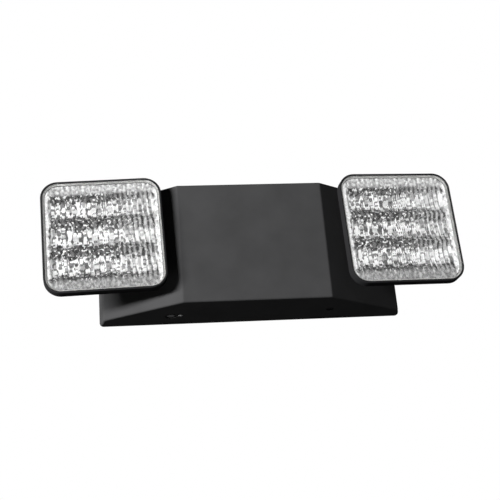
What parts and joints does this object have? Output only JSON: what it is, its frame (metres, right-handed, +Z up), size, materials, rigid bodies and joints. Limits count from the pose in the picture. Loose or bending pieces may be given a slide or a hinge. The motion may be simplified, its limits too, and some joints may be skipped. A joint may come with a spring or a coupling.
{
  "type": "dual head emergency light",
  "caption": "Wall-mounted black emergency light: a box with sloping ends, each carrying a square lamp head on a turret and knuckle, with battery, charger and test button inside.",
  "frame": {"origin": "centre of the back face, at the middle of the cable entry, on the wall's surface", "axes": "+X to the right seen from the front, +Y into the wall, +Z up"},
  "size_m": [0.3175, 0.06, 0.099],
  "materials": {
    "housing_black": "injection moulded, fine matt texture",
    "head_black": "injection moulded, satin",
    "lens_clear": "clear prismatic polycarbonate",
    "reflector_silver": "metallised mouldings",
    "gasket_foam": "closed-cell foam",
    "board_green": "solder resist",
    "led_white": "phosphor and moulded body",
    "aluminium": "extruded or sheet, plain",
    "steel": "zinc plated",
    "nylon": "natural nylon",
    "component_black": "moulded epoxy",
    "component_green": "moulded nylon",
    "copper": "enamelled wire under tape",
    "iron_core": "varnished laminations",
    "battery_wrap": "heat-shrink sleeve",
    "capacitor_sleeve": "printed sleeve left bare",
    "fuse_ceramic": "ceramic tube with plated caps",
    "lead_red": "soft insulation",
    "lead_white": "soft insulation",
    "button_grey": "moulded, satin",
    "indicator_clear": "clear light pipe"
  },
  "bodies": {
    "housing": {"front_housing": "housing_black", "back_plate": "housing_black", "locking_screw": "steel", "battery_pack": "battery_wrap", "battery_strap": "housing_black", "circuit_board": "board_green", "board_screws": "steel", "relay": "component_black", "terminal_block": "component_green", "battery_plug": "nylon", "lamp_plugs": "nylon", "transformer_core": "iron_core", "transformer_winding": "copper", "capacitors": "capacitor_sleeve", "heat_sink": "aluminium", "regulator": "component_black", "fuse": "fuse_ceramic", "indicator_board": "board_green", "test_switch": "component_black", "indicator_led": "led_white", "indicator_lens": "indicator_clear", "test_spring": "steel", "switch_plugs": "nylon", "left_spring_washer": "steel", "right_spring_washer": "steel", "left_lamp_lead": "lead_white", "right_lamp_lead": "lead_white", "battery_lead": "lead_red", "switch_lead": "lead_white"},
    "test_button": {"test_button": "button_grey"},
    "left_turret": {"left_turret": "housing_black", "left_retaining_ring": "steel", "left_friction_washers": "nylon", "left_knuckle_bolt": "steel", "left_knuckle_nut": "steel"},
    "left_head": {"left_head_shell": "head_black", "left_lens_gasket": "gasket_foam", "left_lens": "lens_clear", "left_reflector": "reflector_silver", "left_heat_spreader": "aluminium", "left_led_board": "board_green", "left_leds": "led_white"},
    "right_turret": {"right_turret": "housing_black", "right_retaining_ring": "steel", "right_friction_washers": "nylon", "right_knuckle_bolt": "steel", "right_knuckle_nut": "steel"},
    "right_head": {"right_head_shell": "head_black", "right_lens_gasket": "gasket_foam", "right_lens": "lens_clear", "right_reflector": "reflector_silver", "right_heat_spreader": "aluminium", "right_led_board": "board_green", "right_leds": "led_white"}
  },
  "joints": [
    {"name": "test_press", "type": "slide", "parent": "housing", "child": "test_button", "axis": [0, 0, 1], "range_m": [0, 0.0015], "stiffness_N_per_m": 400, "springref_m": -0.001, "deforming": ["test_spring"]},
    {"name": "left_swivel", "type": "hinge", "parent": "housing", "child": "left_turret", "pos_m": [-0.10354, -0.01999, 0.005], "axis": [-0.5038, -0.8638, 0], "range_deg": [-170, 170]},
    {"name": "left_tilt", "type": "hinge", "parent": "left_turret", "child": "left_head", "pos_m": [-0.112, -0.0345, 0.005], "axis": [0.0301, -0.0176, -0.9994], "range_deg": [-4.5, 65]},
    {"name": "right_swivel", "type": "hinge", "parent": "housing", "child": "right_turret", "pos_m": [0.10354, -0.01999, 0.005], "axis": [0.5038, -0.8638, 0], "range_deg": [-170, 170]},
    {"name": "right_tilt", "type": "hinge", "parent": "right_turret", "child": "right_head", "pos_m": [0.112, -0.0345, 0.005], "axis": [-0.0301, -0.0176, 0.9994], "range_deg": [-9.5, 60]}
  ]
}
